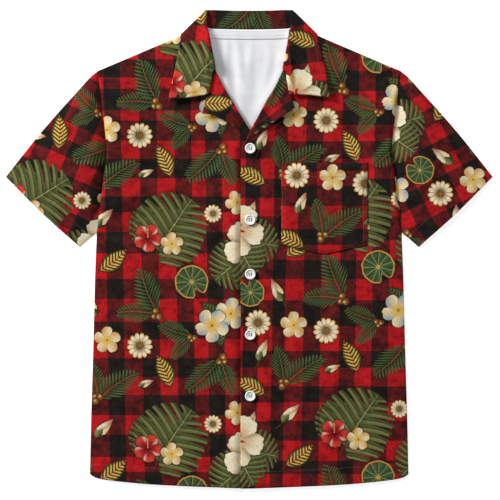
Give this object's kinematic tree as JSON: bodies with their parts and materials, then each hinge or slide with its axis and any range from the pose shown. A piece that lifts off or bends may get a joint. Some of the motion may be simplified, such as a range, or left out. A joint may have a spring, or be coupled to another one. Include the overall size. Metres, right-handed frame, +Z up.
{
  "type": "short-sleeved camp-collar shirt laid flat",
  "caption": "Short-sleeved button-front shirt with an open camp collar, turned-back lapels and a chest pocket, laid flat with its front up.",
  "frame": {"origin": "centre of the bounding box in plan, at the surface that the shirt lies on", "axes": "+X towards the wearer's left, which is to the right as seen from above; +Y from the hem to the collar; +Z up, out of the shirt's front"},
  "size_m": [0.7788, 0.7664, 0.0125],
  "materials": {
    "printed_cloth": "matte printed plain weave, red and black check with flowers and leaves",
    "white_cloth": "matte white plain weave, the unprinted inner side",
    "button": "satin white, moulded with a rim and four holes"
  },
  "bodies": {
    "root": {"back": "white_cloth", "neck_tape": "white_cloth", "front_right": "printed_cloth", "front_left": "printed_cloth", "sleeve_right": "printed_cloth", "sleeve_left": "printed_cloth", "lapel_right": "printed_cloth", "lapel_left": "printed_cloth", "collar": "printed_cloth", "pocket": "printed_cloth", "button_1": "button", "button_2": "button", "button_3": "button", "button_4": "button", "button_5": "button"}
  },
  "joints": []
}
